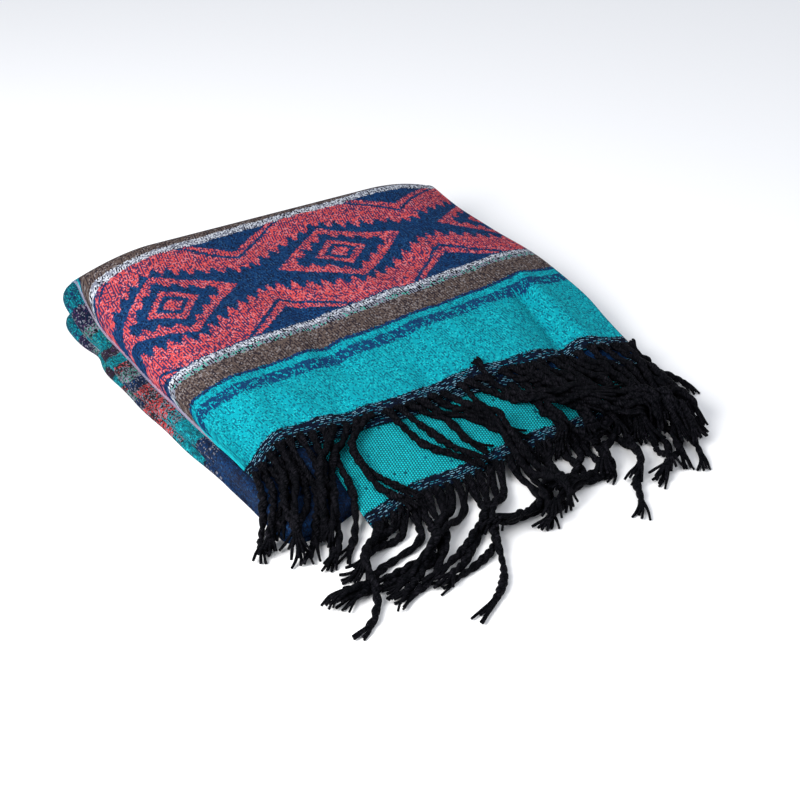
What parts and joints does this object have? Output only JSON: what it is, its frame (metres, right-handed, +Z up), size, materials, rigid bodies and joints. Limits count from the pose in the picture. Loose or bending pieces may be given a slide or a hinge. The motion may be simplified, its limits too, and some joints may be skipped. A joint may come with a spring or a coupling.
{
  "type": "meditation shawl",
  "caption": "Woven meditation shawl with teal, navy and coral stepped-diamond bands and dark twisted fringes, folded into a flat packet.",
  "frame": {"origin": "the middle of the folded packet on its flat underside, on the surface that it lies on", "axes": "+X along the woven stripes, +Y from the fringes to the back fold, +Z up"},
  "size_m": [0.4534, 0.5972, 0.0652],
  "materials": {
    "woven_stripes": "matt, softly napped weave in teal, navy, coral, brown and pale grey",
    "woven_navy": "matt, softly napped plain weave",
    "woven_teal": "matt, coarse open weave with bright flecks",
    "fringe_yarn": "matt twisted yarn with brushed ends"
  },
  "bodies": {
    "root": {"packed_layers": "woven_navy", "under_flap": "woven_teal", "second_panel": "woven_navy", "top_panel": "woven_stripes", "under_fringe": "fringe_yarn", "second_fringe": "fringe_yarn", "top_fringe": "fringe_yarn"}
  },
  "joints": []
}
